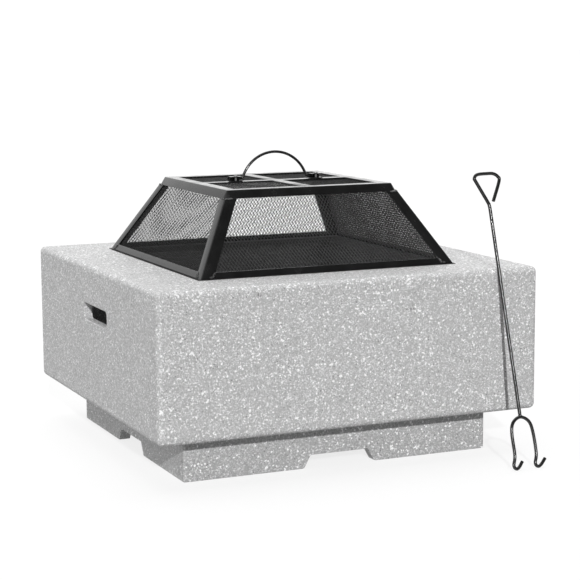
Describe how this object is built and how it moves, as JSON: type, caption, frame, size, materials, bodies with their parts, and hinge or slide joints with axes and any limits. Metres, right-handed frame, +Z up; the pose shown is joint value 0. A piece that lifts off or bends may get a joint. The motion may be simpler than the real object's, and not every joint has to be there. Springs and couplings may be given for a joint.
{
  "type": "fire pit with grate",
  "caption": "Square cast-stone fire pit on a notched plinth, with a steel bowl, cooking grill, lift-off mesh spark guard with a folding handle, and a leaning poker.",
  "frame": {"origin": "on the ground, below the middle of the bounding box, leaning poker included", "axes": "+Z up; -Y is the front, where the poker leans; +X is to the right as seen from the front"},
  "size_m": [0.7, 0.7718, 0.5223],
  "materials": {
    "stone": "matt cast terrazzo, pale grey with white chips",
    "black_steel": "satin black heat-proof coating",
    "mesh_steel": "satin black coating on expanded metal",
    "grill_wire": "dark bare wire",
    "screw_steel": "bright plated steel"
  },
  "bodies": {
    "base": {"fire_pit_body": "stone", "plinth": "stone"},
    "bowl": {"fire_bowl_side_front": "black_steel", "fire_bowl_side_right": "black_steel", "fire_bowl_side_back": "black_steel", "fire_bowl_side_left": "black_steel", "fire_bowl_floor": "black_steel"},
    "grill": {"cooking_grill": "grill_wire"},
    "spark_guard": {"guard_leg_front_left": "black_steel", "guard_leg_front_right": "black_steel", "guard_leg_back_right": "black_steel", "guard_leg_back_left": "black_steel", "guard_top_rail_front": "black_steel", "guard_top_rail_right": "black_steel", "guard_top_rail_back": "black_steel", "guard_top_rail_left": "black_steel", "guard_base_bar_front": "black_steel", "guard_base_bar_right": "black_steel", "guard_base_bar_back": "black_steel", "guard_base_bar_left": "black_steel", "guard_mesh_front": "mesh_steel", "guard_mesh_right": "mesh_steel", "guard_mesh_back": "mesh_steel", "guard_mesh_left": "mesh_steel", "guard_mesh_top": "mesh_steel", "guard_cross_bar": "black_steel", "guard_cross_bar_front": "black_steel", "guard_cross_bar_back": "black_steel", "handle_bracket_left": "black_steel", "handle_bracket_right": "black_steel", "bracket_screw_left": "screw_steel", "bracket_screw_right": "screw_steel"},
    "handle": {"bail_handle": "black_steel"},
    "poker": {"poker_rod": "black_steel", "poker_fork": "black_steel"}
  },
  "joints": [
    {"name": "bowl_lift", "type": "slide", "parent": "base", "child": "bowl", "axis": [0, 0, 1], "range_m": [0, 0.2]},
    {"name": "grill_lift", "type": "slide", "parent": "bowl", "child": "grill", "axis": [0, 0, 1], "range_m": [0, 0.1]},
    {"name": "guard_lift", "type": "slide", "parent": "grill", "child": "spark_guard", "axis": [0, 0, 1], "range_m": [0, 0.2]},
    {"name": "handle_pivot", "type": "hinge", "parent": "spark_guard", "child": "handle", "pos_m": [0, 0.0545, 0.4738], "axis": [1, 0, 0], "range_deg": [-90, 90]},
    {"name": "poker_lift", "type": "slide", "parent": "base", "child": "poker", "axis": [0, 0, 1], "range_m": [0, 0.45]}
  ]
}
